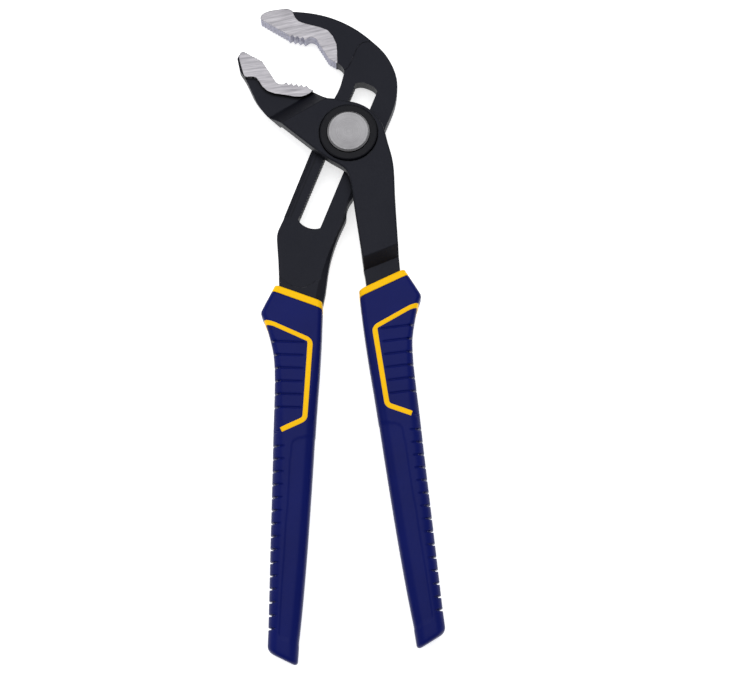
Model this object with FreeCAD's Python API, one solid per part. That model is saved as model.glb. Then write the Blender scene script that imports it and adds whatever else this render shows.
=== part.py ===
import FreeCAD, Part
import math
import os

# Tongue and groove pliers, 12 inch class, lying flat with the push button up.
# Origin: on the pivot axis, on the flat face of the rear pivot plate, which lies on the table.
# +Z along the pivot axis towards the button, +Y towards the jaws, +X from the left grip to the right.

V = FreeCAD.Vector

# ---- driving dimensions (mm) ----
GRIP_MID = 7.4                    # half the grips' thickness; jaws and tangs share this middle plane
JAW_BACK, JAW_FRONT = 3.4, 11.4   # ground jaw faces
FORGING_BACK, FORGING_FRONT = 3.6, 11.2
LOWER_JAW_FRONT = 9.6             # the lower jaw's ground face stands well proud of its forging
MILLED_FACE = 10.9                # lap face of the slotted lever
BOSS_BACK, BOSS_FRONT = 11.1, 17.1
EDGE_ROUND = 0.8

SLOT_LEAN = 21.5                  # degrees, from +Y towards +X
SLOT_LEFT, SLOT_RIGHT = -6.95, 4.1
SLOT_TOP, SLOT_BOTTOM = 25.8, -45.6
SLOT_END_BULGE = 2.0
RACK_PITCH, RACK_DEPTH = 1.45, 0.75
RACK_FLOOR = 7.5                  # the rack teeth fill the slot's left wall above this height

JOURNAL_RADIUS, JOURNAL_CLEARANCE = 11.4, 0.05
JOURNAL_BOTTOM = 11.0
FLANGE_RADIUS, COUNTERBORE_RADIUS = 13.3, 13.7
COUNTERBORE_FLOOR = 13.95
FLANGE_UNDERSIDE, FLANGE_TOP = 14.4, 18.5
WASHER_THICKNESS = 0.4
POCKET_RADIUS, POCKET_FLOOR = 10.15, 12.6
BLOCK_LEFT, BLOCK_RIGHT, BLOCK_HALF_LENGTH = -6.8, 3.95, 7.0
PLATE_THICKNESS, PLATE_RADIUS, PLATE_CHAMFER = 3.5, 11.5, 1.2
RIVET_RADIUS, RIVET_LENGTH, RIVET_SPACING = 1.3, 2.0, 4.6

BUTTON_RADIUS, BUTTON_TOP = 9.8, 20.0
BUTTON_SKIRT, BUTTON_WALL, BUTTON_CROWN = 16.0, 1.3, 1.9
BUTTON_DISH_SPHERE, BUTTON_DISH_DEPTH = 95.0, 0.42
BUTTON_CHAMFER = 0.8
STEM_RADIUS, STEM_CLEARANCE = 3.0, 0.05
KEY_BOTTOM, KEY_TOP = 7.6, 10.5
KEY_HALF_LENGTH = 5.5
KEY_TIP_GAP = 0.15

SPRING_RADIUS, SPRING_WIRE, SPRING_TURNS = 6.6, 0.35, 2.5

GRIP_CORE_INSET = 2.2
RIB_PITCH, RIB_COUNT, RIB_START = 6.0, 6, 22.0
NOTCH_PITCH, NOTCH_COUNT, NOTCH_START = 5.75, 15, 69.6
GROOVE_DEPTH, GROOVE_WIDTH = 1.0, 1.8
ACCENT_WIDTH = 2.3
COLLAR_TOP, COLLAR_WIDTH = -1.3, 3.45


# ---- outline helpers ----
def outline(*segments):
    """A closed face at z = 0 from chained ("line" | "curve", points) segments."""
    edges = []
    first = None
    last = None
    for kind, points in segments:
        chain = [V(x, y, 0) for x, y in points]
        if last is None:
            first = chain[0]
        elif chain[0].distanceToPoint(last) > 1e-6:
            chain.insert(0, last)
        if kind == "line":
            edges += [Part.LineSegment(a, b).toShape() for a, b in zip(chain, chain[1:])]
        else:
            curve = Part.BSplineCurve()
            curve.interpolate(chain)
            edges.append(curve.toShape())
        last = chain[-1]
    if last.distanceToPoint(first) > 1e-6:
        edges.append(Part.LineSegment(last, first).toShape())
    return Part.Face(Part.Wire(edges))


def prism(face, low, high):
    solid = face.extrude(V(0, 0, high - low))
    solid.translate(V(0, 0, low))
    return solid


def cylinder(radius, low, high):
    return Part.makeCylinder(radius, high - low, V(0, 0, low))


def toothed(start, end, count, depth, lean=0.5):
    """Zigzag from start to end; the teeth stand to the left of the direction of travel."""
    sx, sy = start
    dx, dy = (end[0] - sx) / count, (end[1] - sy) / count
    length = math.hypot(dx, dy)
    nx, ny = -dy / length * depth, dx / length * depth
    points = []
    for i in range(count):
        points.append((sx + dx * (i + lean) + nx, sy + dy * (i + lean) + ny))
        points.append((sx + dx * (i + 1), sy + dy * (i + 1)))
    return points


def in_slot_frame(shape):
    shape.rotate(V(0, 0, 0), V(0, 0, 1), -SLOT_LEAN)
    return shape


def edges_at(shape, height, ends):
    """Level edges at a height whose two ends lie near the given pairs of plan points."""
    found = []
    for edge in shape.Edges:
        box = edge.BoundBox
        if abs(box.ZMin - height) > 1e-3 or abs(box.ZMax - height) > 1e-3:
            continue
        a, b = edge.valueAt(edge.FirstParameter), edge.valueAt(edge.LastParameter)
        for p, q in ends:
            one_way = math.hypot(a.x - p[0], a.y - p[1]) + math.hypot(b.x - q[0], b.y - q[1])
            other_way = math.hypot(a.x - q[0], a.y - q[1]) + math.hypot(b.x - p[0], b.y - p[1])
            if min(one_way, other_way) < 3.0:
                found.append(edge)
    return found


def polygon_wire(points, z):
    ring = [V(x, y, z) for x, y in points]
    return Part.makePolygon(ring + ring[:1])


def sloped_tool(low_points, low, high_points, high):
    """Cutter with sloping sides between two plan polygons."""
    return Part.makeLoft([polygon_wire(low_points, low), polygon_wire(high_points, high)], True, True)


# ---- grips: one profile, mirrored and placed twice ----
# distance along the grip, outer half width, inner half width, half thickness
GRIP_PROFILE = [
    (-9.0, 8.4, 9.5, 6.0),
    (-4.0, 10.8, 10.9, 6.9),
    (1.5, 13.4, 11.3, 7.2),
    (8.5, 16.5, 11.5, 7.3),
    (10.8, 15.5, 11.5, 7.3),
    (13.5, 14.1, 11.5, 7.3),
    (20.0, 11.9, 11.5, 7.3),
    (28.0, 9.9, 11.4, 7.3),
    (37.0, 9.0, 11.2, 7.3),
    (48.0, 8.7, 10.8, 7.3),
    (62.0, 8.6, 10.4, 7.3),
    (83.0, 8.2, 9.9, 7.3),
    (115.0, 7.7, 8.9, 7.3),
    (137.0, 7.3, 7.9, 7.2),
    (150.0, 7.1, 7.1, 7.0),
    (157.0, 7.1, 6.6, 6.8),
    (175.0, 6.8, 6.2, 6.4),
]
CORNER_SHARE_TOP, CORNER_SHARE = 0.35, 0.72     # the section is squarer at the collar
CORNER_CHANGE_START, CORNER_CHANGE_END = 20.0, 60.0
COLLAR_SLANT = 8.0                # rise of the collar at 24 mm from the grip's middle line
END_OUTER, END_INNER = 152.5, 174.1     # the end's slant, 24 mm either side of the middle line
END_ROUND = 2.0
LEFT_GRIP_AT, LEFT_GRIP_LEAN, LEFT_GRIP_SIDE = (-22.9, -76.6), -1.7, -1
RIGHT_GRIP_AT, RIGHT_GRIP_LEAN, RIGHT_GRIP_SIDE = (15.9, -70.1), 7.3, 1


def corner_share(s):
    """Share of the half thickness that the section's corners take at s."""
    u = min(max((s - CORNER_CHANGE_START) / (CORNER_CHANGE_END - CORNER_CHANGE_START), 0.0), 1.0)
    return CORNER_SHARE_TOP + (CORNER_SHARE - CORNER_SHARE_TOP) * u


def grip_section(s, outer, inner, half):
    """Rounded rectangle; +x is the outer side, the grip runs towards -y."""
    middle, reach = (outer - inner) / 2.0, (outer + inner) / 2.0
    corner = corner_share(s) * min(reach, half)
    straight, flat = reach - corner, half - corner
    edges = []
    last = None
    for quarter in range(4):
        cx = middle + straight * (1, -1, -1, 1)[quarter]
        cz = GRIP_MID + flat * (1, 1, -1, -1)[quarter]
        arc = []
        for step in range(3):
            a = math.pi / 2 * (quarter + step / 2)
            arc.append(V(cx + corner * math.cos(a), -s, cz + corner * math.sin(a)))
        if last is not None:
            edges.append(Part.LineSegment(last, arc[0]).toShape())
        else:
            first = arc[0]
        edges.append(Part.Arc(*arc).toShape())
        last = arc[2]
    edges.append(Part.LineSegment(last, first).toShape())
    return Part.Wire(edges)


def grip_loft(inset):
    wires = [grip_section(s, outer - inset, inner - inset, half - inset) for s, outer, inner, half in GRIP_PROFILE]
    body = Part.makeLoft(wires, True, False)
    body = body.common(slanted_block(-200.0, -200.0, END_OUTER - inset, END_INNER - inset))
    tip = [edge for edge in body.Edges if edge.BoundBox.YMax < -(END_OUTER - inset)]
    return body.makeFillet(END_ROUND, tip)


def slanted_block(top_outer, top_inner, far_outer, far_inner):
    """Thick block between two slanted lines across the grip, given at 24 mm either side."""
    corners = [V(24, -top_outer, -5), V(-24, -top_inner, -5), V(-24, -far_inner, -5), V(24, -far_outer, -5)]
    return Part.Face(Part.makePolygon(corners + corners[:1])).extrude(V(0, 0, 27))


def accent_bar():
    """The accent line, out from the outer edge, along the grip and back, and the area it encloses."""
    path = [(26.0, 11.6), (10.9, 12.8), (-4.9, 19.7), (-6.1, 22.3), (-4.9, 55.4), (-3.4, 57.6), (20.0, 69.7)]
    half = ACCENT_WIDTH / 2
    left, right = [], []
    for i, (x, s) in enumerate(path):
        ax, ay = path[max(i - 1, 0)]
        bx, by = path[min(i + 1, len(path) - 1)]
        length = math.hypot(bx - ax, by - ay)
        nx, ny = -(by - ay) / length * half, (bx - ax) / length * half
        left.append((x + nx, -s - ny))
        right.append((x - nx, -s + ny))
    inside = Part.Face(Part.makePolygon([V(x, y, -5) for x, y in left + left[:1]]))
    band = left + right[::-1]
    ring = Part.Face(Part.makePolygon([V(x, y, -5) for x, y in band + band[:1]]))
    return ring.extrude(V(0, 0, 27)), inside.extrude(V(0, 0, 27))


def grip_grooves(start, pitch, count, reach):
    bars = []
    for i in range(count):
        s = start + pitch * i
        bars.append(Part.makeBox(30, GROOVE_WIDTH, 27, V(reach, -s - GROOVE_WIDTH / 2, -5)))
    return bars


def grip_parts():
    """Yellow core with collar and accent line, ribbed pad, and the blue cover."""
    skin = grip_loft(0.0)
    inner = grip_loft(GRIP_CORE_INSET)
    collar_end = COLLAR_TOP + COLLAR_WIDTH
    below_top = slanted_block(COLLAR_TOP - COLLAR_SLANT, COLLAR_TOP + COLLAR_SLANT, 200, 200)
    below_collar = slanted_block(collar_end - COLLAR_SLANT, collar_end + COLLAR_SLANT, 200, 200)
    skin = skin.common(below_top)
    inner = inner.common(below_top)
    accent, inside = accent_bar()
    collar = skin.cut(below_collar)
    ridge = skin.common(accent).common(below_collar)
    core = inner.fuse([collar, ridge]).cut(tang())
    shallow = grip_loft(GROOVE_DEPTH)
    tools = grip_grooves(RIB_START, RIB_PITCH, RIB_COUNT, -4.0)
    tools += grip_grooves(NOTCH_START, NOTCH_PITCH, NOTCH_COUNT, 3.0)
    grooves = Part.makeCompound(tools).cut(shallow)
    shell = skin.common(below_collar).cut(inner).cut(accent).cut(grooves)
    return core, shell.common(inside), shell.cut(inside)


def place_grip(shape, at, lean, side):
    placed = shape.copy()
    if side < 0:
        placed = placed.mirror(V(0, 0, 0), V(1, 0, 0))
    placed.rotate(V(0, 0, 0), V(0, 0, 1), lean)
    placed.translate(V(at[0], at[1], 0))
    return placed


def tang():
    """Flat tang inside the grip, in the grip's own frame."""
    low = GRIP_MID - 3.0
    plan = [(8.0, 8.0), (-8.0, 8.0), (-6.5, -10.0), (-3.6, -148.0), (3.2, -148.0), (5.5, -10.0)]
    corners = [V(x, y, low) for x, y in plan]
    return Part.Face(Part.makePolygon(corners + corners[:1])).extrude(V(0, 0, 6.0))


# ---- forgings ----
UPPER_TEETH = [("line", [(-41.9, 59.0)] + toothed((-41.9, 59.0), (-29.0, 51.2), 10, -0.35)),
               ("line", toothed((-29.0, 51.2), (-19.4, 49.1), 4, -1.2)),
               ("curve", [(-18.1, 49.7), (-16.4, 49.3), (-15.0, 48.1)]),
               ("line", toothed((-15.0, 48.1), (-9.3, 38.8), 8, -0.35)),
               ("line", toothed((-9.3, 38.8), (-5.4, 36.5), 3, -0.3))]
UPPER_BACK = ("curve", [(-5.5, 42.3), (-5.8, 46.0), (-7.6, 50.2), (-10.1, 53.2), (-14.0, 54.8), (-20.9, 56.6),
                        (-23.8, 57.8), (-25.4, 59.6), (-26.7, 62.6)])
UPPER_NOSE = ("curve", [(-28.4, 63.7), (-31.5, 63.8), (-34.6, 63.4), (-39.5, 62.1), (-41.6, 60.4), (-41.9, 59.0)])
LOWER_TEETH = [("line", [(-49.9, 42.3)] + toothed((-49.9, 42.3), (-40.6, 37.1), 8, 0.35)),
               ("line", [(-34.5, 27.5)]),
               ("curve", [(-33.5, 26.5), (-32.1, 26.0), (-30.6, 26.0)]),
               ("line", toothed((-30.6, 26.0), (-18.8, 24.0), 5, 1.2)),
               ("line", [(-16.8, 23.0)])]
LOWER_BACK = [("curve", [(-18.2, 21.6), (-20.0, 20.6), (-22.4, 19.8), (-25.6, 19.9), (-29.8, 20.7),
                         (-34.7, 21.4), (-38.1, 22.7), (-40.4, 24.8), (-42.1, 27.6), (-43.4, 29.2),
                         (-45.0, 29.8), (-47.8, 29.6)]),
              ("curve", [(-48.9, 30.0), (-49.6, 31.5), (-50.7, 35.4), (-51.7, 39.3), (-51.4, 40.9),
                         (-49.9, 42.3)])]
SHANK_LEFT = [(-6.7, 19.3), (-17.9, -7.8), (-29.3, -37.6)]
SHANK_LEFT_BEVEL = [(-4.0, 18.2), (-15.2, -8.9), (-26.6, -38.7)]
SHANK_RIGHT = [(16.9, 4.0), (1.7, -29.6), (-0.8, -34.2), (-1.2, -38.6), (-5.4, -49.2), (-7.9, -57.2), (-9.4, -65.0),
               (-11.6, -80.0)]
SHANK_RIGHT_BEVEL = [(13.4, 5.0), (-0.4, -29.4), (-1.8, -36.0), (-3.4, -41.4), (-8.0, -52.2), (-10.4, -58.0),
                     (-13.0, -65.0), (-15.6, -80.0)]
BEVEL_DEPTH = 1.1


def slot_tool():
    """The slot, with the rack standing on its left wall."""
    rack = []
    count = int((SLOT_TOP - SLOT_BOTTOM - 3.0) / RACK_PITCH)
    for i in range(count):
        y = SLOT_BOTTOM + 1.5 + RACK_PITCH * i
        rack += [(SLOT_LEFT, y), (SLOT_LEFT + RACK_DEPTH, y + RACK_PITCH / 2)]
    rack.append((SLOT_LEFT, SLOT_BOTTOM + 1.5 + RACK_PITCH * count))
    middle = (SLOT_LEFT + SLOT_RIGHT) / 2
    top = ("curve", [(SLOT_LEFT + 2.0, SLOT_TOP + 1.5), (middle, SLOT_TOP + SLOT_END_BULGE),
                     (SLOT_RIGHT - 2.0, SLOT_TOP + 1.5), (SLOT_RIGHT, SLOT_TOP)])
    end = ("curve", [(SLOT_RIGHT - 2.0, SLOT_BOTTOM - 1.3), (middle, SLOT_BOTTOM - SLOT_END_BULGE),
                     (SLOT_LEFT + 2.0, SLOT_BOTTOM - 1.3), (SLOT_LEFT, SLOT_BOTTOM)])
    plain = outline(("line", [(SLOT_LEFT, SLOT_BOTTOM), (SLOT_LEFT, SLOT_TOP)]), top,
                    ("line", [(SLOT_RIGHT, SLOT_BOTTOM)]), end)
    racked = outline(("line", [(SLOT_LEFT, SLOT_BOTTOM)] + rack + [(SLOT_LEFT, SLOT_TOP)]), top,
                     ("line", [(SLOT_RIGHT, SLOT_BOTTOM)]), end)
    tool = prism(plain, FORGING_BACK - 1, RACK_FLOOR).fuse(prism(racked, RACK_FLOOR, FORGING_FRONT + 1))
    return in_slot_frame(tool)


def slotted_lever():
    """Rear lever: upper jaw, slotted shank, left leg and tang."""
    silhouette = outline(
        ("line", [(-28.4, 62.9), (-34.4, 62.7), (-39.2, 61.5), (-41.2, 59.6), (-29.0, 52.3), (-19.4, 50.3),
                  (-16.0, 50.0), (-8.9, 39.6), (-5.4, 36.6)]),
        ("curve", [(-3.6, 35.4), (-2.3, 33.2), (-2.7, 30.0), (-3.9, 25.5), (-6.7, 19.3)]),
        ("line", SHANK_LEFT[1:]),
        ("curve", [(-30.2, -40.8), (-31.5, -43.6), (-32.6, -46.8), (-32.7, -51.0), (-32.2, -57.0), (-31.7, -64.9),
                   (-31.5, -71.0)]),
        ("line", [(-31.2, -80.6), (-11.7, -80.6), (-10.4, -74.0), (-9.3, -64.8)]),
        ("curve", [(-7.8, -57.2), (-5.3, -49.2), (-2.3, -42.0), (-1.0, -38.4), (-0.9, -35.6), (-0.2, -32.8),
                   (1.7, -29.6)]),
        ("line", [(16.9, 4.0)]),
        ("curve", [(18.6, 8.4), (20.4, 12.8), (21.8, 17.3), (22.6, 22.2), (22.7, 27.2), (21.7, 32.2), (19.6, 37.2),
                   (16.4, 42.2), (11.5, 47.2), (5.3, 52.4), (-3.5, 57.6), (-12.2, 60.8), (-20.1, 62.3),
                   (-28.4, 62.9)]))
    body = prism(silhouette, FORGING_BACK, FORGING_FRONT)
    outer = edges_at(body, FORGING_FRONT, [((16.9, 4.0), (-28.4, 62.9))])
    body = body.makeFillet(EDGE_ROUND, outer)
    milled = outline(
        ("line", [(-16.0, 31.0), (-1.4, 33.6)]),
        ("curve", [(1.6, 39.0), (3.6, 43.9), (5.7, 46.6), (7.9, 47.4), (10.8, 47.3)]),
        ("line", [(30.0, 46.0), (30.0, -40.0), (-6.0, -66.2), (-15.1, -69.2)]),
        ("curve", [(-17.3, -71.0), (-21.2, -72.4), (-24.7, -71.7), (-28.0, -70.2), (-31.4, -67.0)]),
        ("line", [(-50.0, -66.0), (-50.0, -10.0)]))
    above = FORGING_FRONT + 0.1
    foot = MILLED_FACE - BEVEL_DEPTH
    left_bevel = sloped_tool(SHANK_LEFT + [(-60.0, -36.0), (-60.0, 22.0)], foot,
                             SHANK_LEFT_BEVEL + [(-60.0, -37.0), (-60.0, 22.0)], above)
    right_bevel = sloped_tool(SHANK_RIGHT + [(60.0, -80.0), (60.0, 4.0)], foot,
                              SHANK_RIGHT_BEVEL + [(60.0, -80.0), (60.0, 4.0)], above)
    body = body.cut(prism(milled, MILLED_FACE, above)).cut(left_bevel).cut(right_bevel)
    nose = outline(*UPPER_TEETH, UPPER_BACK, UPPER_NOSE)
    inner_tang = place_grip(tang(), LEFT_GRIP_AT, LEFT_GRIP_LEAN, LEFT_GRIP_SIDE)
    lever = body.fuse([prism(nose, JAW_BACK, JAW_FRONT), inner_tang]).cut(slot_tool())
    return lever.removeSplitter()


def front_lever():
    """Front lever: lower jaw, bored boss, right leg and tang."""
    silhouette = outline(
        ("line", [(-16.8, 22.8)]),
        ("curve", [(-14.4, 20.6), (-12.2, 18.6), (-10.3, 17.4), (-7.7, 17.1), (-3.1, 16.2), (0.6, 15.6),
                   (3.6, 14.9), (6.8, 13.6), (10.1, 11.4), (12.7, 8.8), (14.8, 6.0), (16.5, 2.0), (18.2, -4.7),
                   (19.6, -9.6), (20.8, -16.2), (21.3, -26.7), (21.9, -38.9), (22.4, -47.1), (23.0, -56.0),
                   (23.7, -64.0)]),
        ("line", [(24.5, -78.0), (9.2, -78.0), (8.2, -70.0)]),
        ("curve", [(6.8, -60.6), (5.2, -50.9), (3.8, -41.4), (2.6, -33.4), (1.7, -27.0), (0.3, -20.8), (-1.2, -17.8),
                   (-5.2, -14.7), (-9.7, -12.0)]),
        ("line", [(-17.7, -6.0), (-36.0, 8.8)]),
        ("curve", [(-38.6, 11.2), (-40.6, 13.8), (-42.6, 16.8), (-44.4, 20.4), (-46.2, 24.4), (-48.6, 29.4)]),
        ("line", [(-51.3, 33.6), (-52.6, 39.4), (-51.8, 41.2), (-50.6, 41.7), (-49.4, 41.2), (-41.0, 36.5),
                  (-34.8, 26.5), (-30.6, 24.9), (-19.0, 22.9)]))
    body = prism(silhouette, FORGING_BACK, BOSS_FRONT)
    above = BOSS_FRONT + 0.1
    jaw_drop = sloped_tool([(-54.0, -0.2), (-7.5, 28.5), (-7.5, 60), (-75, 60), (-75, -0.2)], LOWER_JAW_FRONT,
                           [(-50.1, -6.2), (-0.6, 22.6), (-0.6, 60), (-75, 60), (-75, -6.2)], above)
    leg_drop = sloped_tool([(-10, -71.4), (40, -50.9), (40, -110), (-10, -110)], FORGING_FRONT,
                           [(-10, -66.1), (40, -46.1), (40, -110), (-10, -110)], above)
    lap = sloped_tool(
        [(-9.0, 23.2), (-42.0, 0.9), (-42, -20), (-20, -68.5), (40, -45), (40, 30), (-9.0, 30)], FORGING_BACK - 0.1,
        [(-6.0, 21.9), (-40.0, -1.1), (-40, -20), (-20, -63.5), (40, -40), (40, 30), (-6.0, 30)], BOSS_BACK)
    back_draft = sloped_tool([(-28.2, 5.1), (-49.9, 26.5), (-60.0, 26.5), (-60.0, -20.0), (-28.2, -20.0)],
                             FORGING_BACK - 0.1,
                             [(-30.3, 3.0), (-52.0, 24.4), (-60.0, 24.4), (-60.0, -20.0), (-30.3, -20.0)],
                             LOWER_JAW_FRONT)
    body = body.cut(jaw_drop).cut(leg_drop).cut(lap).cut(back_draft)
    rim = [edge for edge in body.Edges
           if abs(edge.BoundBox.ZMin - BOSS_FRONT) < 1e-3 and abs(edge.BoundBox.ZMax - BOSS_FRONT) < 1e-3]
    body = body.makeFillet(EDGE_ROUND, rim)
    ground = prism(outline(*LOWER_TEETH, *LOWER_BACK), JAW_BACK, JAW_FRONT)
    inner_tang = place_grip(tang(), RIGHT_GRIP_AT, RIGHT_GRIP_LEAN, RIGHT_GRIP_SIDE)
    bore = cylinder(JOURNAL_RADIUS + JOURNAL_CLEARANCE, BOSS_BACK - 1, BOSS_FRONT + 1)
    counterbore = cylinder(COUNTERBORE_RADIUS, COUNTERBORE_FLOOR, BOSS_FRONT + 1)
    lever = body.fuse([ground, inner_tang]).cut(bore).cut(counterbore)
    return lever.removeSplitter()


# ---- pivot ----
def slot_box(left, right, half_length, low, high):
    box = Part.makeBox(right - left, 2 * half_length, high - low, V(left, -half_length, low))
    return in_slot_frame(box)


def rivet_stubs():
    stubs = [Part.makeCylinder(RIVET_RADIUS, RIVET_LENGTH, V(1.9, y * RIVET_SPACING, PLATE_THICKNESS - RIVET_LENGTH))
             for y in (-1, 1)]
    return in_slot_frame(Part.makeCompound(stubs))


def level_circle(shape, height, radius):
    return [edge for edge in shape.Edges
            if abs(edge.CenterOfMass.z - height) < 1e-6 and abs(edge.Length - math.tau * radius) < 0.1]


def pivot_hub():
    """Guide block in the slot, journal in the boss, flange and button pocket."""
    block = slot_box(BLOCK_LEFT, BLOCK_RIGHT, BLOCK_HALF_LENGTH, PLATE_THICKNESS, JOURNAL_BOTTOM)
    tooth_face = SLOT_LEFT + RACK_DEPTH + KEY_TIP_GAP
    block = block.cut(slot_box(BLOCK_LEFT - 1, tooth_face, BLOCK_HALF_LENGTH + 1, RACK_FLOOR - 0.15, JOURNAL_BOTTOM))
    journal = cylinder(JOURNAL_RADIUS, JOURNAL_BOTTOM, FLANGE_UNDERSIDE)
    flange = cylinder(FLANGE_RADIUS, FLANGE_UNDERSIDE, FLANGE_TOP)
    flange = flange.makeFillet(0.7, level_circle(flange, FLANGE_TOP, FLANGE_RADIUS))
    hub = block.fuse([journal, flange])
    hub = hub.cut(cylinder(POCKET_RADIUS, POCKET_FLOOR, FLANGE_TOP + 1))
    hub = hub.cut(cylinder(STEM_RADIUS + STEM_CLEARANCE, 0, POCKET_FLOOR + 1))
    hub = hub.cut(slot_box(BLOCK_LEFT - 1, 0, KEY_HALF_LENGTH + STEM_CLEARANCE, 0, KEY_TOP + 0.2))
    return hub.fuse(rivet_stubs()).removeSplitter()


def rear_plate():
    """Round plate riveted under the guide block; the tool rests on it."""
    plate = cylinder(PLATE_RADIUS, 0, PLATE_THICKNESS)
    plate = plate.makeChamfer(PLATE_CHAMFER, level_circle(plate, 0, PLATE_RADIUS))
    return plate.cut(rivet_stubs())


def thrust_washer():
    ring = cylinder(FLANGE_RADIUS, FLANGE_UNDERSIDE - WASHER_THICKNESS, FLANGE_UNDERSIDE)
    return ring.cut(cylinder(JOURNAL_RADIUS + JOURNAL_CLEARANCE, 0, FLANGE_TOP))


def latch_pin():
    """Stem with a toothed key that faces the rack."""
    stem = cylinder(STEM_RADIUS, KEY_BOTTOM, BUTTON_TOP - BUTTON_CROWN + 0.3)
    face = SLOT_LEFT + RACK_DEPTH + KEY_TIP_GAP
    start = SLOT_BOTTOM + 1.5
    first = start + RACK_PITCH * math.ceil((-KEY_HALF_LENGTH - start) / RACK_PITCH)
    profile = [(0.0, -KEY_HALF_LENGTH), (0.0, KEY_HALF_LENGTH), (face + 0.75, KEY_HALF_LENGTH)]
    for i in range(int(2 * KEY_HALF_LENGTH / RACK_PITCH), -1, -1):
        tip = first + RACK_PITCH * i
        if tip < KEY_HALF_LENGTH:
            profile.append((face, tip))
        if tip - RACK_PITCH / 2 > -KEY_HALF_LENGTH:
            profile.append((face + 0.6, tip - RACK_PITCH / 2))
    profile.append((face + 0.75, -KEY_HALF_LENGTH))
    key = prism(outline(("line", profile)), KEY_BOTTOM, KEY_TOP)
    return stem.fuse(in_slot_frame(key)).removeSplitter()


def push_button():
    """Hollow cap with a shallow dish, a chamfered rim and a seat for the stem."""
    crown = BUTTON_TOP - BUTTON_CROWN
    body = cylinder(BUTTON_RADIUS, BUTTON_SKIRT, BUTTON_TOP)
    body = body.makeChamfer(BUTTON_CHAMFER, level_circle(body, BUTTON_TOP, BUTTON_RADIUS))
    hollow = cylinder(BUTTON_RADIUS - BUTTON_WALL, BUTTON_SKIRT - 1, crown)
    dish = Part.makeSphere(BUTTON_DISH_SPHERE, V(0, 0, BUTTON_TOP - BUTTON_DISH_DEPTH + BUTTON_DISH_SPHERE))
    seat = cylinder(STEM_RADIUS + 1.6, BUTTON_SKIRT, crown + 0.01)
    body = body.cut(hollow).fuse(seat).cut(cylinder(STEM_RADIUS, 0, crown + 0.3)).cut(dish)
    return body.removeSplitter()


def button_spring():
    """Open coil between the pocket floor and the underside of the button."""
    height = BUTTON_TOP - BUTTON_CROWN - POCKET_FLOOR - 2 * SPRING_WIRE - 0.1
    helix = Part.makeHelix(height / SPRING_TURNS, height, SPRING_RADIUS)
    section = Part.Wire(Part.makeCircle(SPRING_WIRE, V(SPRING_RADIUS, 0, 0), V(0, 1, 0)))
    coil = Part.Wire(helix.Edges).makePipeShell([section], True, True)
    coil.translate(V(0, 0, POCKET_FLOOR + SPRING_WIRE + 0.05))
    return coil


def build():
    core, pad, cover = grip_parts()
    slotted = slotted_lever()
    front = front_lever()
    nodes = {
        "slotted_lever": slotted,
        "front_lever": front,
        "pivot_hub": pivot_hub(),
        "rear_plate": rear_plate(),
        "thrust_washer": thrust_washer(),
        "latch_pin": latch_pin(),
        "push_button": push_button(),
        "button_spring": button_spring(),
    }
    sides = (("left", LEFT_GRIP_AT, LEFT_GRIP_LEAN, LEFT_GRIP_SIDE, slotted),
             ("right", RIGHT_GRIP_AT, RIGHT_GRIP_LEAN, RIGHT_GRIP_SIDE, front))
    for name, at, lean, side, lever in sides:
        nodes[name + "_grip_core"] = place_grip(core, at, lean, side).cut(lever)
        nodes[name + "_grip_pad"] = place_grip(pad, at, lean, side)
        nodes[name + "_grip_cover"] = place_grip(cover, at, lean, side)
    return nodes


def main():
    os.makedirs("parts", exist_ok=True)
    for name, shape in build().items():
        print(name, "solids", len(shape.Solids), "valid", shape.isValid(), "volume %.0f" % shape.Volume)
        shape.exportStep("parts/%s.step" % name)


main()
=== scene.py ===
import bpy
import bmesh
import math
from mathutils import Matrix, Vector


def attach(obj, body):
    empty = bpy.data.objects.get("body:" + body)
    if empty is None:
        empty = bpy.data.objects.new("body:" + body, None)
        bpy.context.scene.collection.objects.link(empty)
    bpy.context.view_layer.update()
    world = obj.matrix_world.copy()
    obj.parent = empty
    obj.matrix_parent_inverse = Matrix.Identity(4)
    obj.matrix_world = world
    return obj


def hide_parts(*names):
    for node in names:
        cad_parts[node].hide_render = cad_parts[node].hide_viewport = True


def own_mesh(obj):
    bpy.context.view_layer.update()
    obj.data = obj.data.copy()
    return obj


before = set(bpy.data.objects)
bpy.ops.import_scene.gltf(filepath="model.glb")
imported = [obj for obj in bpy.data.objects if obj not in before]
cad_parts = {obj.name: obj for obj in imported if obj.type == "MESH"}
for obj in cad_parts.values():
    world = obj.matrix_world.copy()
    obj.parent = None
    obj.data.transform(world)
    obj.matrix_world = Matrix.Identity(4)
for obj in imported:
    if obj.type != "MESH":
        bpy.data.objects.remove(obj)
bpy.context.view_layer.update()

MM = 0.001

# ---- camera ----
ELEVATION = math.radians(77.0)
DISTANCE = 0.8
AIM = (0.01178, -0.09721, 0.0076)
LENS = 84.7


def add_camera():
    data = bpy.data.cameras.new("camera")
    data.lens = LENS
    data.sensor_width = 36.0
    data.clip_start = 0.01
    data.clip_end = 20.0
    camera = bpy.data.objects.new("camera", data)
    bpy.context.collection.objects.link(camera)
    back = Vector((0.0, -math.cos(ELEVATION), math.sin(ELEVATION)))
    camera.location = Vector(AIM) + back * DISTANCE
    camera.rotation_euler = (math.pi / 2 - ELEVATION, 0.0, 0.0)
    bpy.context.scene.camera = camera


add_camera()


# ---- shader trees ----
SOCKETS = {
    "color": "Base Color",
    "metallic": "Metallic",
    "roughness": "Roughness",
    "normal": "Normal",
    "specular": "Specular IOR Level",
    "specular_tint": "Specular Tint",
}


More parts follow.
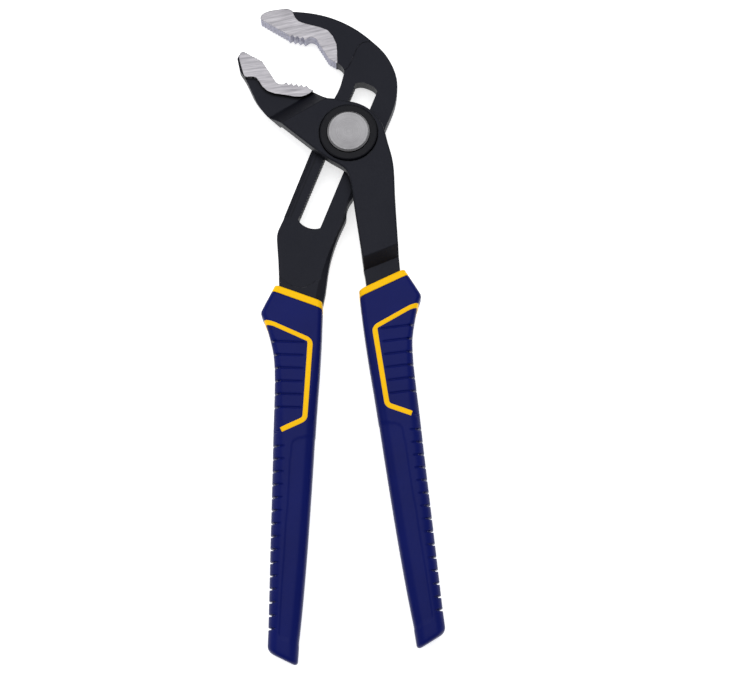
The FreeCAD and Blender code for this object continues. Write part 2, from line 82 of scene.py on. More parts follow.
class Tree:
    """A material's node tree, with short calls for the nodes that the finishes below share."""

    def __init__(self, name):
        self.material = bpy.data.materials.new(name)
        self.material.use_nodes = True
        self.tree = self.material.node_tree
        self.shader = self.tree.nodes["Principled BSDF"]
        self.place = self.add("ShaderNodeTexCoord").outputs["Object"]

    def add(self, kind, **options):
        node = self.tree.nodes.new(kind)
        for key, value in options.items():
            setattr(node, key, value)
        return node

    def link(self, source, target):
        if isinstance(source, (int, float, tuple)):
            target.default_value = source
        else:
            self.tree.links.new(source, target)

    def math(self, operation, a, b=0.0, c=0.0, clamp=False):
        node = self.add("ShaderNodeMath", operation=operation, use_clamp=clamp)
        for socket, value in zip(node.inputs, (a, b, c)):
            self.link(value, socket)
        return node.outputs[0]

    def axes(self, vector=None):
        node = self.add("ShaderNodeSeparateXYZ")
        self.link(vector or self.place, node.inputs[0])
        return node.outputs

    def plan(self):
        """The part's x and y in mm."""
        x, y, _ = self.axes()
        return self.math("MULTIPLY", x, 1.0 / MM), self.math("MULTIPLY", y, 1.0 / MM)

    def noise(self, scale, detail=3.0, roughness=0.5, stretch=None, turn=0.0):
        """Noise in the part's own frame; scale is per metre, stretch squeezes it along the axes."""
        node = self.add("ShaderNodeTexNoise")
        node.inputs["Scale"].default_value = scale
        node.inputs["Detail"].default_value = detail
        node.inputs["Roughness"].default_value = roughness
        source = self.place
        if stretch:
            mapping = self.add("ShaderNodeMapping", vector_type="TEXTURE")
            mapping.inputs["Rotation"].default_value = (0.0, 0.0, turn)
            mapping.inputs["Scale"].default_value = stretch
            self.link(source, mapping.inputs[0])
            source = mapping.outputs[0]
        self.link(source, node.inputs["Vector"])
        return node.outputs["Fac"]

    def spread(self, value, low, high, to_low=0.0, to_high=1.0, smooth=False):
        node = self.add("ShaderNodeMapRange")
        if smooth:
            node.interpolation_type = "SMOOTHSTEP"
        for socket, number in zip(node.inputs, (value, low, high, to_low, to_high)):
            self.link(number, socket)
        return node.outputs[0]

    def mix(self, factor, a, b):
        node = self.add("ShaderNodeMix", data_type="RGBA")
        self.link(factor, node.inputs[0])
        self.link(a, node.inputs[6])
        self.link(b, node.inputs[7])
        return node.outputs[2]

    def blend(self, factor, a, b):
        """Number between a and b."""
        node = self.add("ShaderNodeMix", data_type="FLOAT")
        self.link(factor, node.inputs[0])
        self.link(a, node.inputs[2])
        self.link(b, node.inputs[3])
        return node.outputs[0]

    def bump(self, height, strength, distance, normal=None):
        """Normal over the height; distance in mm."""
        node = self.add("ShaderNodeBump")
        self.link(strength, node.inputs["Strength"])
        node.inputs["Distance"].default_value = distance * MM
        self.link(height, node.inputs["Height"])
        if normal:
            self.link(normal, node.inputs["Normal"])
        return node.outputs[0]

    def soft_edge(self, radius):
        """Normal rounded over sharp edges by a radius in mm, and how close the surface is to such an edge."""
        bevel = self.add("ShaderNodeBevel", samples=6)
        bevel.inputs["Radius"].default_value = radius * MM
        flat = self.add("ShaderNodeNewGeometry").outputs["Normal"]
        dot = self.add("ShaderNodeVectorMath", operation="DOT_PRODUCT")
        self.link(bevel.outputs[0], dot.inputs[0])
        self.link(flat, dot.inputs[1])
        return bevel.outputs[0], self.spread(dot.outputs["Value"], 0.985, 0.80)

    def curve(self, value, points, low, high, out_low, out_high):
        """Broken line through the points, as a function of one coordinate; the rest is its plot's range."""
        node = self.add("ShaderNodeFloatCurve")
        line = node.mapping.curves[0]
        scaled = [((x - low) / (high - low), (y - out_low) / (out_high - out_low)) for x, y in points]
        while len(line.points) < len(scaled):
            line.points.new(0.5, 0.5)
        for point, (x, y) in zip(line.points, scaled):
            point.location = (x, y)
            point.handle_type = "VECTOR"
        node.mapping.update()
        self.link(self.spread(value, low, high), node.inputs["Value"])
        return self.spread(node.outputs[0], 0.0, 1.0, out_low, out_high)

    def finish(self, **sockets):
        for name, value in sockets.items():
            self.link(value, self.shader.inputs[SOCKETS[name]])
        return self.material


# ---- finishes: colours, and lengths in mm ----
# colour of the painted shade in the forging's corners, under the lower jaw's pad and along the shank's bevel
PAINTED_SHADE_BLACK = (0.0, 0.0, 0.0, 1.0)
BLACK = (0.0030, 0.0032, 0.0058, 1.0)
BLACK_WORN = (0.0048, 0.0050, 0.0078, 1.0)
FORGING_TINT = (0.80, 0.83, 1.0, 1.0)
EDGE_WEAR_AND_HIGHLIGHT = (0.085, 0.085, 0.095, 1.0)
GROUND = (0.35, 0.339, 0.357, 1.0)
GROUND_DARK = (0.205, 0.198, 0.214, 1.0)
GROUND_EDGE_HIGHLIGHT = (0.46, 0.44, 0.46, 1.0)
FORGED_EDGE, TURNED_EDGE = 0.45, 0.30
FORGED_GRAIN, TURNED_GRAIN, GRIND_DEPTH = 0.15, 0.06, 0.08
OCCLUSION_REACH = 1.1             # painted shade darkens the black forging's corners within this distance

# Where the ground steel ends and the black forging begins, in mm: the lower jaw's edge as y over x,
# the upper jaw's edge as x over y. Each has the range of its plot: lowest and highest in, then out.
LOWER_EDGE = [(-53.0, 60.0), (-51.75, 60.0), (-51.65, 39.3), (-50.65, 35.4), (-49.55, 31.55), (-48.9, 30.1),
              (-47.8, 29.7), (-45.0, 29.9), (-43.4, 29.3), (-42.1, 27.7), (-40.4, 24.9), (-38.1, 22.8),
              (-34.7, 21.5), (-29.8, 20.8), (-25.6, 20.0), (-22.4, 19.9), (-20.0, 20.7), (-18.2, 21.7),
              (-16.8, 23.1), (-16.7, 60.0), (-16.0, 60.0)]
LOWER_RANGE = (-53.0, -16.0, 0.0, 60.0)
UPPER_EDGE = [(30.0, -60.0), (36.4, -60.0), (36.5, -5.4), (42.3, -5.6), (46.0, -5.9), (50.2, -7.7),
              (53.1, -10.1), (54.7, -14.0), (56.5, -20.9), (57.7, -23.8), (59.5, -25.5), (62.6, -26.8),
              (63.6, -28.3), (64.5, -60.0), (66.0, -60.0)]
UPPER_RANGE = (30.0, 66.0, -60.0, 0.0)
UPPER_WALL_TOP = 59.8             # the upper jaw's side walls are black beyond this y
EDGE_WOBBLE = 0.12
# where the painted shadow below the lower jaw's pad begins and where it is full, in mm from the steel's edge
PAD_SHADOW_FAR, PAD_SHADOW_NEAR = -1.15, -0.55
RAIL_LINE = ((-4.0, 18.2), (-26.6, -38.7))
RAIL_FADE, RAIL_SOLID = 0.42, 0.22    # half widths where the painted shade line begins to show and where it is full
UPPER_GRIND, LOWER_GRIND = 13.0, 7.0    # how far the grinding lines lean, in degrees


def jaw_masks(t, jaw):
    """1 on the ground steel of a jaw, and 1 from the painted shadow along its edge onwards."""
    x, y = t.plan()
    wobble = t.spread(t.noise(900.0, 2.0), 0.0, 1.0, -EDGE_WOBBLE, EDGE_WOBBLE)
    normal = t.add("ShaderNodeNewGeometry").outputs["True Normal"]
    level_face = t.math("GREATER_THAN", t.math("ABSOLUTE", t.axes(normal)[2]), 0.5)
    if jaw == "lower":
        gap = t.math("SUBTRACT", y, t.curve(x, LOWER_EDGE, *LOWER_RANGE))
        bare_wall = 1.0
    else:
        gap = t.math("SUBTRACT", t.curve(y, UPPER_EDGE, *UPPER_RANGE), x)
        bare_wall = t.math("LESS_THAN", y, UPPER_WALL_TOP)
    within = t.spread(t.math("ADD", gap, wobble), -0.05, 0.05)
    steel = t.math("MULTIPLY", within, t.math("MAXIMUM", level_face, bare_wall))
    return steel, t.spread(gap, PAD_SHADOW_FAR, PAD_SHADOW_NEAR)


def rail_shade_line(t):
    """1 on a painted shade line along the inner edge of the shank's left bevel, where its step would cast
    shade.
    """
    x, y = t.plan()
    (x0, y0), (x1, y1) = RAIL_LINE
    length = math.hypot(x1 - x0, y1 - y0)
    nx, ny = (y1 - y0) / length, -(x1 - x0) / length
    off = t.math("ADD", t.math("MULTIPLY", x, nx), t.math("MULTIPLY", y, ny))
    off = t.math("ABSOLUTE", t.math("SUBTRACT", off, x0 * nx + y0 * ny))
    line = t.spread(off, RAIL_FADE, RAIL_SOLID)
    above = t.math("GREATER_THAN", y, y1)
    below = t.math("LESS_THAN", y, y0)
    return t.math("MULTIPLY", line, t.math("MULTIPLY", above, below))


def forging(name, jaw, grind_turn):
    """Blackened forging, with the jaw ground to bare steel."""
    t = Tree(name)
    rounded, edge = t.soft_edge(FORGED_EDGE)
    grain = t.noise(2600.0, 4.0, 0.6)
    cloud = t.noise(60.0, 3.0)
    # worn metal and painted highlight: the forging's edges lighten in dotted patches
    wear_and_highlight = t.math("MULTIPLY", edge, t.spread(t.noise(500.0, 3.0), 0.42, 0.62))
    black = t.mix(t.spread(cloud, 0.3, 0.7), BLACK, BLACK_WORN)
    black = t.mix(wear_and_highlight, black, EDGE_WEAR_AND_HIGHLIGHT)
    # painted shade: ambient occlusion darkens the forging's corners, creases and steps toward black
    near = t.add("ShaderNodeAmbientOcclusion", samples=4)
    near.inputs["Distance"].default_value = OCCLUSION_REACH * MM
    black = t.mix(t.spread(near.outputs["AO"], 0.55, 0.95), PAINTED_SHADE_BLACK, black)
    steel_mask, outline = jaw_masks(t, jaw)
    streak = t.noise(700.0, 4.0, 0.65, (14.0, 1.0, 1.0), grind_turn)
    fine = t.noise(3500.0, 2.0, 0.5, (30.0, 1.0, 1.0), grind_turn)
    lines = t.math("ADD", t.math("MULTIPLY", streak, 0.7), t.math("MULTIPLY", fine, 0.3))
    steel = t.mix(t.spread(lines, 0.36, 0.62), GROUND_DARK, GROUND)
    # painted highlight along the ground steel's edges
    steel = t.mix(edge, steel, GROUND_EDGE_HIGHLIGHT)
    if jaw == "lower":
        # painted shadow: a black band below the lower jaw's raised pad, where its step casts shade
        black = t.mix(outline, black, PAINTED_SHADE_BLACK)
    color = t.mix(steel_mask, black, steel)
    # painted shade: a black line along the inner edge of the shank's left bevel, on the upper lever only
    if jaw == "upper":
        color = t.mix(rail_shade_line(t), color, PAINTED_SHADE_BLACK)
    rough_black = t.spread(grain, 0.25, 0.75, 0.40, 0.56)
    rough_steel = t.spread(lines, 0.3, 0.7, 0.46, 0.30)
    bump = t.bump(grain, t.blend(steel_mask, 0.6, 0.0), FORGED_GRAIN, rounded)
    bump = t.bump(lines, t.math("MULTIPLY", steel_mask, 0.35), GRIND_DEPTH, bump)
    return t.finish(color=color, metallic=t.blend(steel_mask, 0.0, 1.0),
                    roughness=t.blend(steel_mask, rough_black, rough_steel), normal=bump,
                    specular=0.2, specular_tint=FORGING_TINT)


def turned(name, base, other, metallic, rough, ring_pitch, edge_highlight):
    """Metal turned about the pivot axis: fine rings between two tones, with a painted highlight on its edges.
    """
    t = Tree(name)
    rounded, edge = t.soft_edge(TURNED_EDGE)
    x, y, _ = t.axes()
    radius = t.math("SQRT", t.math("ADD", t.math("MULTIPLY", x, x), t.math("MULTIPLY", y, y)))
    rings = t.add("ShaderNodeTexNoise", noise_dimensions="1D")
    rings.inputs["Scale"].default_value = 1.0 / (ring_pitch * MM)
    rings.inputs["Detail"].default_value = 2.0
    t.link(radius, rings.inputs["W"])
    grain = t.noise(1800.0, 3.0)
    cloud = t.noise(120.0, 2.0)
    tone = t.math("ADD", t.math("MULTIPLY", rings.outputs["Fac"], 0.5), t.math("MULTIPLY", cloud, 0.5))
    color = t.mix(t.spread(tone, 0.35, 0.65), base, other)
    # painted highlight on the edges
    color = t.mix(edge, color, edge_highlight)
    roughness = t.spread(grain, 0.3, 0.7, rough - 0.05, rough + 0.06)
    height = t.math("ADD", t.math("MULTIPLY", rings.outputs["Fac"], 0.6), t.math("MULTIPLY", grain, 0.4))
    bump = t.bump(height, 0.2, TURNED_GRAIN, rounded)
    return t.finish(color=color, metallic=metallic, roughness=roughness, normal=bump, specular=0.12)


def moulded(name, base, deep, grain_scale, rough, depth, specular):
    """Moulded plastic or rubber with a fine spark-eroded grain."""
    t = Tree(name)
    grain = t.noise(grain_scale, 3.0, 0.6)
    cloud = t.noise(45.0, 3.0)
    color = t.mix(t.spread(cloud, 0.3, 0.7), base, deep)
    roughness = t.spread(grain, 0.3, 0.7, rough - 0.07, rough + 0.07)
    return t.finish(color=color, roughness=roughness, specular=specular,
                    normal=t.bump(grain, 0.25, depth))


def assign(node, material):
    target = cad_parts[node]
    target.data.materials.clear()
    target.data.materials.append(material)
    for polygon in target.data.polygons:
        polygon.material_index = 0


NAVY = moulded("navy_rubber", (0.0010, 0.0055, 0.105, 1.0), (0.0008, 0.0045, 0.090, 1.0),
               grain_scale=2200.0, rough=0.42, depth=0.06, specular=0.10)
YELLOW = moulded("yellow_core", (1.0, 0.565, 0.001, 1.0), (0.98, 0.54, 0.001, 1.0),
                 grain_scale=3000.0, rough=0.42, depth=0.02, specular=0.08)
HUB_BLACK = turned("black_hub", BLACK, BLACK_WORN, metallic=0.0, rough=0.42, ring_pitch=0.4,
                   edge_highlight=(0.09, 0.09, 0.10, 1.0))
PLAIN_STEEL = turned("plain_steel", (0.42, 0.41, 0.42, 1.0), (0.50, 0.49, 0.50, 1.0), metallic=1.0,
                     rough=0.35, ring_pitch=0.5, edge_highlight=(0.7, 0.7, 0.7, 1.0))
SATIN_STEEL = turned("satin_button", (0.165, 0.162, 0.168, 1.0), (0.225, 0.222, 0.228, 1.0), metallic=1.0,
                     rough=0.34, ring_pitch=0.35, edge_highlight=(0.50, 0.50, 0.51, 1.0))
assign("slotted_lever", forging("black_forging_upper", "upper", math.radians(UPPER_GRIND)))
assign("front_lever", forging("black_forging_lower", "lower", math.radians(LOWER_GRIND)))
assign("pivot_hub", HUB_BLACK)
assign("rear_plate", HUB_BLACK)
assign("thrust_washer", PLAIN_STEEL)
assign("latch_pin", PLAIN_STEEL)
assign("push_button", SATIN_STEEL)


# ---- grips ----
# A grip's own frame, in mm: s runs down the grip, x to its outer side, z up.
# Each row: s, outer half width, inner half width, half thickness.
GRIP_PROFILE = [
    (-9.0, 8.4, 9.5, 6.0), (-4.0, 10.8, 10.9, 6.9), (1.5, 13.4, 11.3, 7.2), (7.2, 16.0, 11.5, 7.3),
    (8.5, 16.45, 11.5, 7.3), (9.8, 15.95, 11.5, 7.3), (13.5, 14.1, 11.5, 7.3), (20.0, 11.9, 11.5, 7.3),
    (28.0, 9.9, 11.4, 7.3), (37.0, 9.0, 11.2, 7.3), (48.0, 8.7, 10.8, 7.3), (62.0, 8.6, 10.4, 7.3),
    (83.0, 8.2, 9.9, 7.3), (115.0, 7.7, 8.9, 7.3), (137.0, 7.3, 7.9, 7.2), (150.0, 7.1, 7.1, 7.0),
    (157.0, 7.1, 6.6, 6.8), (175.0, 6.8, 6.2, 6.4)]
GRIP_MID = 7.4
CORNER_SHARE_TOP, CORNER_SHARE = 0.35, 0.72     # the section is squarer at the collar
CORNER_CHANGE_START, CORNER_CHANGE_END = 20.0, 60.0
COLLAR_SLOPE = -1.0 / 3.0
COLLAR_TOP, COLLAR_END = -1.3, 2.15
COLLAR_PROUD, COLLAR_ROUND = 0.05, 0.8
END_S, END_SLOPE = 162.8, -0.45
END_ROUND = 2.2
COLLAR_LEAN_END, END_LEAN_START = 16.0, 149.0
SKIN = 0.06                      # the visible skin stays this far inside the CAD solid
WALL = 1.4
# body, place in the model's frame, lean in degrees, and the side that the outer half width is on
GRIPS = {"left": ("rear_lever", (-22.9, -76.6), -1.7, -1),
         "right": ("front_lever", (15.9, -70.1), 7.3, 1)}


def profile(s):
    """Outer and inner half widths and half thickness, on a smooth line through the profile's rows."""
    rows = GRIP_PROFILE
    s = min(max(s, rows[0][0]), rows[-1][0])
    i = next(k for k in range(len(rows) - 1) if s <= rows[k + 1][0])
    before, a, b, after = rows[max(i - 1, 0)], rows[i], rows[i + 1], rows[min(i + 2, len(rows) - 1)]
    step = b[0] - a[0]
    u = (s - a[0]) / step
    values = []
    for k in (1, 2, 3):
        slope_a = (b[k] - before[k]) / (b[0] - before[0]) * step
        slope_b = (after[k] - a[k]) / (after[0] - a[0]) * step
        value = (2 * u ** 3 - 3 * u ** 2 + 1) * a[k] + (u ** 3 - 2 * u ** 2 + u) * slope_a
        value += (3 * u ** 2 - 2 * u ** 3) * b[k] + (u ** 3 - u ** 2) * slope_b
        values.append(value)
    return values


def corner_share(s):
    """Share of the half thickness that the section's corners take at s."""
    u = min(max((s - CORNER_CHANGE_START) / (CORNER_CHANGE_END - CORNER_CHANGE_START), 0.0), 1.0)
    return CORNER_SHARE_TOP + (CORNER_SHARE - CORNER_SHARE_TOP) * u


def section(s, inset=0.0):
    """The two half widths, the half thickness and the corner radius of the rounded rectangle at s."""
    outer, inner, half = (value - SKIN - inset for value in profile(s))
    corner = corner_share(s) * min((outer + inner) / 2, half)
    return outer, inner, half, corner


def around(s, a, inset=0.0):
    """Point and outward direction in the section, at arc length a from the middle of the outer side."""
    outer, inner, half, corner = section(s, inset)
    side, arc = half - corner, corner * math.pi / 2
    sign = 1 if a >= 0 else -1
    a = abs(a)
    top = outer + inner - 2 * corner
    if a <= side:
        x, z, nx, nz = outer, a, 1.0, 0.0
    elif a <= side + arc:
        turn = (a - side) / corner
        nx, nz = math.cos(turn), math.sin(turn)
        x, z = outer - corner + corner * nx, side + corner * nz
    elif a <= side + arc + top:
        x, z, nx, nz = outer - corner - (a - side - arc), half, 0.0, 1.0
    elif a <= side + 2 * arc + top:
        turn = math.pi / 2 + (a - side - arc - top) / corner
        nx, nz = math.cos(turn), math.sin(turn)
        x, z = corner - inner + corner * nx, side + corner * nz
    else:
        x, z, nx, nz = -inner, max(side - (a - side - 2 * arc - top), 0.0), -1.0, 0.0
    return x, z * sign, nx, nz * sign


def half_trip(s, inset=0.0):
    """Arc length from the middle of the outer side over the front face to the middle of the inner side."""
    outer, inner, half, corner = section(s, inset)
    return 2 * (half - corner) + math.pi * corner + outer + inner - 2 * corner


def arc_at(s, x):
    """Arc length from the middle of the outer side to the front face at x."""
    outer, _, half, corner = section(s)
    flat_start = outer - corner
    if x <= flat_start:
        return half - corner + corner * math.pi / 2 + flat_start - x
    return half - corner + corner * math.acos(min(1.0, (x - flat_start) / corner))


RIB_START, RIB_PITCH, RIB_COUNT, RIB_REACH = 21.9, 6.0, 6, -3.7
NOTCH_START, NOTCH_PITCH, NOTCH_COUNT = 69.4, 5.75, 15
GROOVE_DEPTH, GROOVE_HALF, GROOVE_WALL = 0.5, 0.2, 0.5
NOTCH_DEPTH, NOTCH_REACH = 1.25, 2.4
NOTCH_LENGTH, NOTCH_SHORTER = 5.0, 1.6      # the notches get shorter down the grip
# Outlines as (s, x) of the sunk panel and of the ribbed pad; an x of 30 is well outside the grip.
PANEL_DEPTH, PANEL_SPAN = 0.4, (60.0, 160.0)
PANEL = [(64.7, -30.0), (64.7, -7.0), (66.1, -1.7), (67.9, -0.1), (76.1, 0.4), (89.8, 0.5), (107.8, 1.2),
         (152.4, 2.2), (153.6, 1.4), (155.7, -3.7), (156.6, -6.6), (156.6, -30.0)]
LOOP = [(13.1, 30.0), (13.5, 10.7), (20.8, -6.6), (56.8, -5.4), (62.2, 5.2), (63.9, 8.6), (63.9, 30.0)]


def ease(value, start, end):
    """0 before start, 1 past end and a smooth step between them."""
    u = min(max((value - start) / (end - start), 0.0), 1.0)
    return u * u * (3 - 2 * u)


def inside(polygon, s, x):
    """Signed distance to the polygon's edge, positive inside."""
    nearest, crossings = 1e9, 0
    for (s0, x0), (s1, x1) in zip(polygon, polygon[1:] + polygon[:1]):
        ds, dx = s1 - s0, x1 - x0
        u = min(max(((s - s0) * ds + (x - x0) * dx) / (ds * ds + dx * dx), 0.0), 1.0)
        nearest = min(nearest, math.hypot(s - s0 - u * ds, x - x0 - u * dx))
        if (x0 > x) != (x1 > x) and s < s0 + (x - x0) / (x1 - x0) * ds:
            crossings += 1
    return nearest if crossings % 2 else -nearest


def groove(s, x, start, pitch, count, reach):
    """Depth of a row of grooves from reach outwards, cut deeper as notches in the outer edge."""
    i = min(max(round((s - start) / pitch), 0), count - 1)
    edge = profile(s)[0] - NOTCH_REACH
    notch = ease(x, edge - 0.3, edge + 0.5)
    across = 1.0 - ease(abs(s - start - pitch * i), GROOVE_HALF + 0.1 * notch, GROOVE_WALL + 0.1 * notch)
    return across * ease(x, reach - 0.3, reach + 0.3) * (GROOVE_DEPTH + (NOTCH_DEPTH - GROOVE_DEPTH) * notch)


def relief(s, x):
    """How far the moulded detail lies below the grip's skin, at s along and x across."""
    depth = groove(s, x, RIB_START, RIB_PITCH, RIB_COUNT, RIB_REACH)
    reach = profile(s)[0] - NOTCH_LENGTH + NOTCH_SHORTER * ease(s, 70.0, 150.0)
    depth = max(depth, groove(s, x, NOTCH_START, NOTCH_PITCH, NOTCH_COUNT, reach))
    if PANEL_SPAN[0] < s < PANEL_SPAN[1]:
        inner_side = 1.0 - 0.6 * ease(-x, profile(s)[1] - 3.0, profile(s)[1] - 0.5)
        depth += PANEL_DEPTH * ease(inside(PANEL, s, x), -0.15, 0.3) * inner_side
    return depth


def lean_of_row(row):
    """Rows follow the slanted collar at the top, run square in the middle and follow the slanted end."""
    if row < COLLAR_LEAN_END:
        return COLLAR_SLOPE * (1.0 - ease(row, COLLAR_END, COLLAR_LEAN_END))
    return END_SLOPE * ease(row, END_LEAN_START, END_S - END_ROUND)


def skin_point(row, share, inset=0.0, carved=True):
    """Point of the grip's surface in its own frame (x, s, z), for a row and a share of the way round."""
    s = row
    slope = lean_of_row(row)
    for _ in range(4):
        x, z, nx, nz = around(s, (share * 2 - 1) * half_trip(s, inset), inset)
        s = row + slope * x
    sunk = relief(s, x) if carved else 0.0
    return (x - nx * sunk, s, GRIP_MID + z - nz * sunk)


COLUMNS = 104
ROW_STEP, ROW_COUNT = 0.8, 196
GROOVE_ROWS = (-0.6, -0.42, -0.25, 0.0, 0.25, 0.42, 0.6)    # rows across a groove, from its middle
END_ARC_STEPS = 7
END_RINGS = (0.9, 2.0, 3.2, 4.4)


def grip_rows():
    """(row, inset) from under the collar, along the grip and over the rounded end to its middle."""
    top, last = COLLAR_END, END_S - END_ROUND
    stations = {round(top + 0.6 + ROW_STEP * i, 3) for i in range(ROW_COUNT)}
    for start, pitch, count in ((RIB_START, RIB_PITCH, RIB_COUNT), (NOTCH_START, NOTCH_PITCH, NOTCH_COUNT)):
        for i in range(count):
            middle = start + pitch * i
            stations = {s for s in stations if abs(s - middle) > 0.75}
            stations |= {round(middle + d, 3) for d in GROOVE_ROWS}
    rows = [(top - 0.4, 0.9), (top + 0.05, 0.7), (top + 0.05, 0.3), (top + 0.25, 0.05)]
    rows += [(s, 0.0) for s in sorted(stations)]
    for i in range(END_ARC_STEPS + 1):
        turn = math.pi / 2 * i / END_ARC_STEPS
        rows.append((last + END_ROUND * math.sin(turn), END_ROUND * (1 - math.cos(turn))))
    return rows + [(END_S, END_ROUND + d) for d in END_RINGS]


def place(point, grip):
    """Grip frame to the model's frame, in metres."""
    _, at, lean, side = GRIPS[grip]
    x, s, z = point
    x, y = x * side, -s
    c, n = math.cos(math.radians(lean)), math.sin(math.radians(lean))
    return Vector((x * c - y * n + at[0], x * n + y * c + at[1], z)) * MM


def new_piece(name, points, faces, material, slot_name, body, replaced=(), flip=False):
    """Smooth mesh that rides a body; flip turns its faces round, as a mirrored shape needs."""
    mesh = bpy.data.meshes.new(name)
    bm = bmesh.new()
    used = sorted({i for face in faces for i in face})
    made = {i: bm.verts.new(points[i]) for i in used}
    for face in faces:
        corners = [made[i] for i in (face[::-1] if flip else face)]
        bm.faces.new(corners)
    bm.normal_update()
    for face in bm.faces:
        face.smooth = True
    bm.to_mesh(mesh)
    bm.free()
    piece = bpy.data.objects.new(name, mesh)
    bpy.context.collection.objects.link(piece)
    mesh.materials.append(material)
    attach(piece, body)
    if replaced:
        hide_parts(*replaced)
    return piece


def tube_faces(rings, columns):
    """Quads between successive closed rings of the same number of points."""
    faces = []
    for r in range(rings - 1):
        for c in range(columns):
            a, b = r * columns + c, r * columns + (c + 1) % columns
            faces.append((a, b, b + columns, a + columns))
    return faces


def rod_faces(rings, columns):
    """The faces of a tube that is capped at both ends."""
    last = (rings - 1) * columns
    caps = [tuple(range(columns))[::-1], tuple(last + c for c in range(columns))]
    return tube_faces(rings, columns) + caps


def solid_wall(piece):
    wall = piece.modifiers.new("wall", "SOLIDIFY")
    wall.thickness = WALL * MM
    wall.offset = -1.0


rows = grip_rows()
skin = [skin_point(row, c / COLUMNS, inset, inset < 0.01) for row, inset in rows for c in range(COLUMNS)]
skin_faces = tube_faces(len(rows), COLUMNS)
cap = tuple((len(rows) - 1) * COLUMNS + c for c in range(COLUMNS))


def in_loop(face):
    """Whether a face of the skin belongs to the ribbed pad inside the accent line."""
    s = sum(skin[i][1] for i in face) / len(face)
    x = sum(skin[i][0] for i in face) / len(face)
    return inside(LOOP, s, x) > 0.0


pad_faces = [face for face in skin_faces if in_loop(face)]
cover_faces = [face for face in skin_faces if not in_loop(face)] + [cap]


def collar_points():
    """Closed band round the top of the grip, rounded at its upper edge, with its bore left open."""
    low, high = COLLAR_TOP, COLLAR_END
    rings = [(low, 4.5), (low, 2.0), (low, COLLAR_ROUND)]
    for i in range(1, 6):
        turn = math.pi / 2 * i / 5
        rings.append((low + COLLAR_ROUND * (1 - math.cos(turn)),
                      COLLAR_ROUND * (1 - math.sin(turn)) - COLLAR_PROUD))
    rings += [(high - 0.8, -COLLAR_PROUD), (high - 0.3, -COLLAR_PROUD),
              (high - 0.08, -COLLAR_PROUD + 0.08), (high, 0.15), (high, 2.0), (high, 4.5)]
    points = [skin_point(row, c / COLUMNS, inset, False) for row, inset in rings for c in range(COLUMNS)]
    faces = tube_faces(len(rings), COLUMNS)
    last = (len(rings) - 1) * COLUMNS
    faces += [(last + c, last + (c + 1) % COLUMNS, (c + 1) % COLUMNS, c) for c in range(COLUMNS)]
    return points, faces


def rounded_path(points, radius, step):
    """The broken line through the points, with arcs at its corners, sampled every step."""
    path = [Vector(points[0])]
    for before, corner, after in zip(points, points[1:], points[2:]):
        corner = Vector(corner)
        back, on = Vector(before) - corner, Vector(after) - corner
        cut = min(radius, back.length / 2.2, on.length / 2.2)
        a, b = corner + back.normalized() * cut, corner + on.normalized() * cut
        for i in range(7):
            u = i / 6
            path.append(a * (1 - u) ** 2 + corner * 2 * u * (1 - u) + b * u ** 2)
    path.append(Vector(points[-1]))
    dense = []
    for a, b in zip(path, path[1:]):
        count = max(1, round((b - a).length / step))
        dense += [a.lerp(b, i / count) for i in range(count)]
    return dense + [path[-1]]


LINE_WIDTH, LINE_PROUD, LINE_ROOT = 2.3, 0.12, 0.6
LINE_FRONT = [(62.2, 4.9), (57.0, -5.5), (20.9, -6.6), (13.7, 10.6), (13.2, 13.2)]


def line_points():
    """Closed raised strip along the accent line: front face, round the outer side, back face."""
    front = [Vector((s, arc_at(s, x))) for s, x in rounded_path(LINE_FRONT, 1.9, 0.6)]
    side_at, side_a = front[-1]
    side = [Vector((side_at, side_a * (1 - i / 5))) for i in range(1, 10)]
    path = front + side + [Vector((at, -a)) for at, a in reversed(front)]
    half = LINE_WIDTH / 2
    outline = [(-half, -LINE_ROOT), (-half, -0.02), (-half + 0.05, 0.07), (-half + 0.18, LINE_PROUD),
               (-half * 0.4, LINE_PROUD + 0.03), (half * 0.4, LINE_PROUD + 0.03), (half - 0.18, LINE_PROUD),
               (half - 0.05, 0.07), (half, -0.02), (half, -LINE_ROOT)]
    points = []
    for i, middle in enumerate(path):
        along = (path[min(i + 1, len(path) - 1)] - path[max(i - 1, 0)]).normalized()
        across = Vector((-along.y, along.x))
        for u, rise in outline:
            at = middle + across * u
            x, z, nx, nz = around(at.x, at.y)
            points.append((x + nx * rise, at.x, GRIP_MID + z + nz * rise))
    return points, rod_faces(len(path), len(outline))


def build_grip(grip):
    body, _, _, side = GRIPS[grip]

    def add(kind, points, faces, material, slot_name, replaced=()):
        placed = [place(point, grip) for point in points]
        return new_piece(f"{grip}_grip_{kind}", placed, faces, material, slot_name, body, replaced, side < 0)

    solid_wall(add("sleeve", skin, cover_faces, NAVY, "navy_rubber", [grip + "_grip_cover"]))
    solid_wall(add("ribs", skin, pad_faces, NAVY, "navy_rubber", [grip + "_grip_pad"]))
    add("collar", *collar_points(), YELLOW, "yellow_core", [grip + "_grip_core"])
    add("line", *line_points(), YELLOW, "yellow_core")


build_grip("left")
build_grip("right")


# ---- button spring ----
SPRING_RADIUS, SPRING_WIRE, SPRING_TURNS = 6.6, 0.35, 2.5   # radius of the coil and of the wire
SPRING_STEPS, SPRING_COLUMNS = 90, 10
SPRING_LOW, SPRING_HIGH = 13.0, 17.7        # height of the wire's middle at its two ends


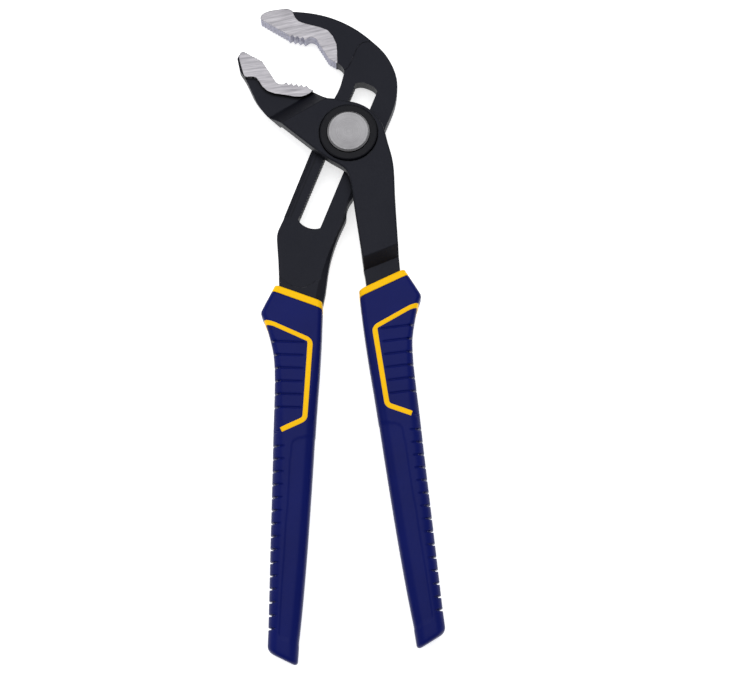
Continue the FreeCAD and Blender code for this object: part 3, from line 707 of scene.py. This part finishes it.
def spring_points():
    """Round wire on a helix about the pivot axis, closed at both ends."""
    points = []
    for i in range(SPRING_STEPS + 1):
        turn = math.tau * SPRING_TURNS * i / SPRING_STEPS
        height = SPRING_LOW + (SPRING_HIGH - SPRING_LOW) * i / SPRING_STEPS
        for c in range(SPRING_COLUMNS):
            swing = math.tau * c / SPRING_COLUMNS
            reach = SPRING_RADIUS + SPRING_WIRE * math.cos(swing)
            rise = height + SPRING_WIRE * math.sin(swing)
            points.append(Vector((reach * math.cos(turn), reach * math.sin(turn), rise)) * MM)
    return points, rod_faces(SPRING_STEPS + 1, SPRING_COLUMNS)


spring = new_piece("spring_coil", *spring_points(), PLAIN_STEEL, "plain_steel", "pivot",
                   ["button_spring"], True)
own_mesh(spring)


# ---- light and floor, in metres ----
LIT_POINT = Vector((0.0, -0.09, 0.0))
WORLD_TINT, WORLD_LIGHT = (0.97, 0.98, 1.0, 1.0), 0.52
SOFTBOX_TILT = math.radians(13.0)
SOFTBOX_HEIGHT, SOFTBOX_SIZE, SOFTBOX_POWER = 1.0, (1.0, 1.0), 5.8
SIDE_AT, SIDE_SIZE, SIDE_POWER = (-0.9, 0.1, 0.45), (0.35, 0.7), 1.2
FLOOR_REACH, FLOOR_LEVEL = 1.6, -0.0004
FLOOR_WHITE, FLOOR_GLOW = (0.92, 0.92, 0.92, 1.0), 0.60


def area_light(name, at, size, power):
    """Rectangular light that faces the object."""
    data = bpy.data.lights.new(name, "AREA")
    data.shape = "RECTANGLE"
    data.size, data.size_y = size
    data.energy = power
    light = bpy.data.objects.new(name, data)
    bpy.context.collection.objects.link(light)
    light.location = at
    light.rotation_euler = (LIT_POINT - Vector(at)).to_track_quat("-Z", "Y").to_euler()


def studio():
    """A softbox that the flat faces mirror to the camera, dim surroundings and a weak light from the left."""
    world = bpy.data.worlds.new("studio")
    world.use_nodes = True
    background = world.node_tree.nodes["Background"]
    background.inputs["Color"].default_value = WORLD_TINT
    background.inputs["Strength"].default_value = WORLD_LIGHT
    bpy.context.scene.world = world
    bpy.context.scene.view_settings.view_transform = "Standard"
    overhead = LIT_POINT + Vector((0.0, math.tan(SOFTBOX_TILT), 1.0)) * SOFTBOX_HEIGHT
    area_light("softbox", overhead, SOFTBOX_SIZE, SOFTBOX_POWER)
    area_light("side", SIDE_AT, SIDE_SIZE, SIDE_POWER)


def floor():
    """A white sheet just below the object, lit from within so that it stays white."""
    mesh = bpy.data.meshes.new("floor")
    bm = bmesh.new()
    for x, y in ((-1, -1), (1, -1), (1, 1), (-1, 1)):
        bm.verts.new((x * FLOOR_REACH, y * FLOOR_REACH, FLOOR_LEVEL))
    bm.faces.new(bm.verts)
    bm.to_mesh(mesh)
    bm.free()
    plane = bpy.data.objects.new("floor", mesh)
    bpy.context.collection.objects.link(plane)
    material = bpy.data.materials.new("floor")
    material.use_nodes = True
    shader = material.node_tree.nodes["Principled BSDF"]
    shader.inputs["Base Color"].default_value = FLOOR_WHITE
    shader.inputs["Roughness"].default_value = 0.6
    shader.inputs["Specular IOR Level"].default_value = 0.2
    shader.inputs["Emission Color"].default_value = (1.0, 1.0, 1.0, 1.0)
    shader.inputs["Emission Strength"].default_value = FLOOR_GLOW
    mesh.materials.append(material)


studio()
floor()
